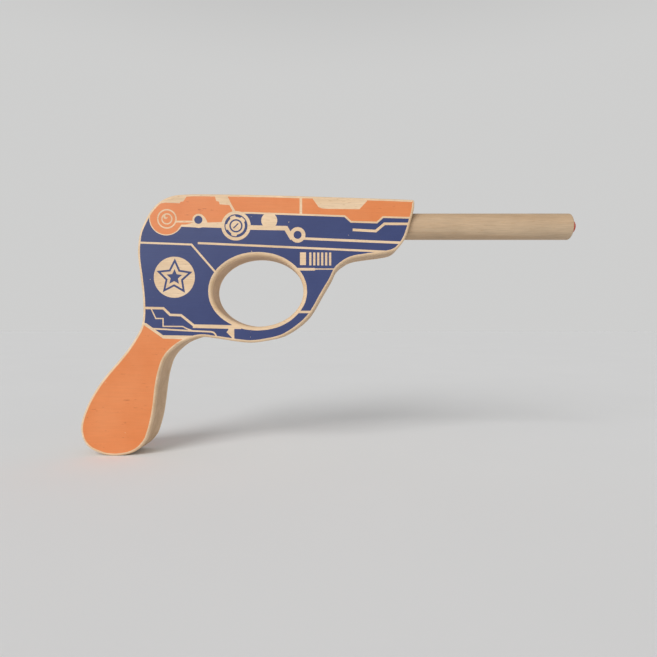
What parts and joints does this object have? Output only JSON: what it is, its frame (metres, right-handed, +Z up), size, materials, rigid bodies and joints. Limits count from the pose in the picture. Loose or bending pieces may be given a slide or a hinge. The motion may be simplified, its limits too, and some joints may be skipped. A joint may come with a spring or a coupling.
{
  "type": "wooden toy pop pistol",
  "caption": "Laminated wooden toy pistol with a printed body, a finger hole and a sliding bored barrel that pumps air to pop a soft ball from the muzzle.",
  "frame": {"origin": "centre of the toy's bounding box with the barrel pushed home and the ball in the muzzle; it lies on the mid-plane between the two side panels", "axes": "+X points along the barrel to the muzzle, +Z points up as the toy is held, and -Y is the outward side of the printed left panel"},
  "size_m": [0.277, 0.021, 0.1442],
  "materials": {
    "printed_beech": "sanded beech with orange and navy printed faces",
    "bare_beech": "bare sanded beech",
    "barrel_wood": "bare turned dowel",
    "dowel_wood": "bare dowel",
    "felt": "pressed felt",
    "nylon": "turned nylon",
    "seal_rubber": "matt rubber",
    "zinc_steel": "zinc plated",
    "ball_foam": "matt foam rubber"
  },
  "bodies": {
    "body": {"left_side_panel": "printed_beech", "right_side_panel": "printed_beech", "core_frame": "bare_beech", "alignment_dowel_1": "dowel_wood", "alignment_dowel_2": "dowel_wood", "alignment_dowel_3": "dowel_wood", "alignment_dowel_4": "dowel_wood", "piston_rod": "dowel_wood", "rod_cross_pin": "zinc_steel", "piston_head": "nylon", "piston_seal": "seal_rubber", "piston_washer": "zinc_steel", "piston_screw": "zinc_steel", "rear_buffer": "felt"},
    "barrel": {"barrel_tube": "barrel_wood", "stop_peg_upper": "dowel_wood", "stop_peg_lower": "dowel_wood"},
    "ball": {"foam_ball": "ball_foam"}
  },
  "joints": [
    {"name": "barrel_slide", "type": "slide", "parent": "body", "child": "barrel", "axis": [1, 0, 0], "range_m": [0, 0.045]},
    {"name": "ball_slide", "type": "slide", "parent": "barrel", "child": "ball", "axis": [1, 0, 0], "range_m": [0, 0.03]}
  ]
}
